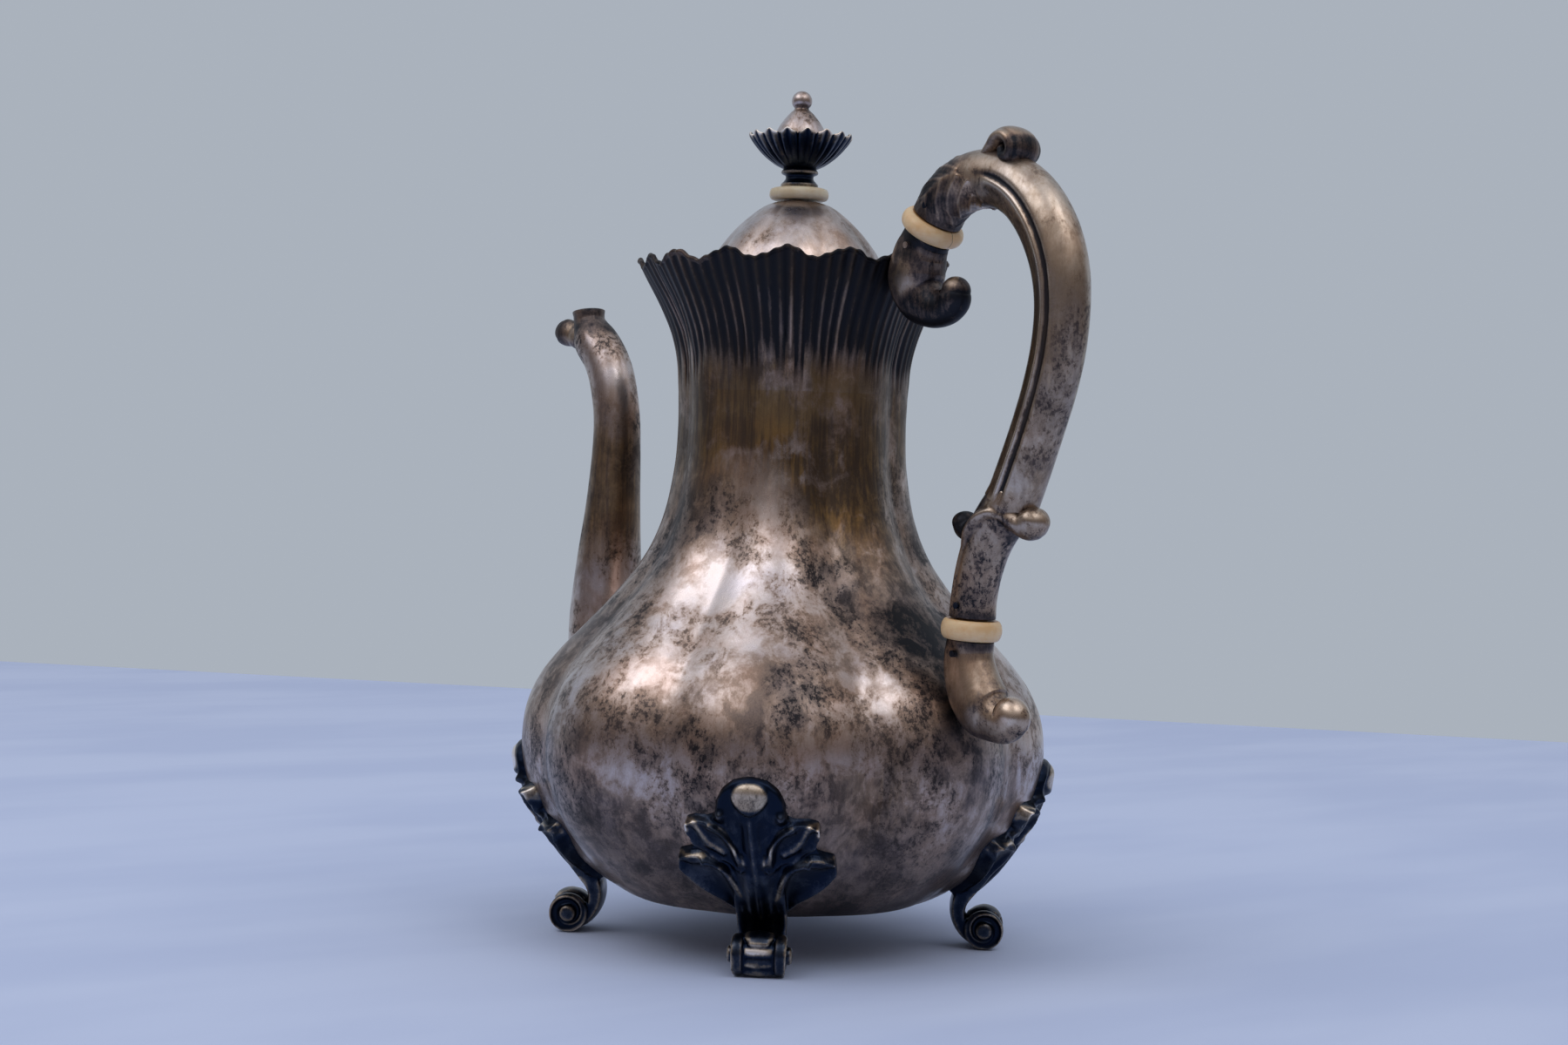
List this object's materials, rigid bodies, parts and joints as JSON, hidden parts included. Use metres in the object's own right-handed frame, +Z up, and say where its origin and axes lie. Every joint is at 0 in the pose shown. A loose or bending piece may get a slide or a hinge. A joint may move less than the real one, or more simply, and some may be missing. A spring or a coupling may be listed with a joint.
{
  "type": "coffee pot",
  "caption": "Lobed pear-shaped silver coffee pot on cast scroll feet, with a fluted flared collar, S spout, lift-off lid and a scroll handle insulated by ivory rings.",
  "frame": {"origin": "on the pot's axis, in the plane of the table that the feet stand on", "axes": "+Z up the axis, +X towards the handle, -X towards the spout, -Y the side seen with the handle at the right"},
  "size_m": [0.2423, 0.1616, 0.262],
  "materials": {
    "tarnished_silver": "tarnished silver plate, mottled",
    "oxidised_silver": "cast silver, blackened in the hollows",
    "ivory": "aged ivory, satin"
  },
  "bodies": {
    "pot": {"body_bowl": "tarnished_silver", "body_belt": "tarnished_silver", "body_shoulder": "tarnished_silver", "body_neck": "tarnished_silver", "base_plate": "tarnished_silver", "spout_throat": "tarnished_silver", "spout_tube": "tarnished_silver", "spout_lip_scroll": "tarnished_silver", "handle_grip": "tarnished_silver", "handle_tail": "tarnished_silver", "thumb_scroll": "tarnished_silver", "upper_socket": "tarnished_silver", "lower_socket": "tarnished_silver", "upper_socket_pin": "tarnished_silver", "upper_grip_pin": "tarnished_silver", "lower_grip_pin": "tarnished_silver", "lower_socket_pin": "tarnished_silver", "fluted_collar": "oxidised_silver", "lid_seat_ring": "oxidised_silver", "foot_front_left": "oxidised_silver", "foot_front_right": "oxidised_silver", "foot_back_left": "oxidised_silver", "foot_back_right": "oxidised_silver", "upper_ivory_ring": "ivory", "lower_ivory_ring": "ivory"},
    "lid": {"lid_dome": "tarnished_silver", "lid_flange": "tarnished_silver", "finial_ivory_disc": "ivory", "finial_cup": "oxidised_silver", "finial_knop": "tarnished_silver", "finial_bolt": "tarnished_silver", "finial_washer": "tarnished_silver", "finial_nut": "tarnished_silver"}
  },
  "joints": [
    {"name": "lid_lift", "type": "slide", "parent": "pot", "child": "lid", "axis": [0, 0, 1], "range_m": [0, 0.075]}
  ]
}
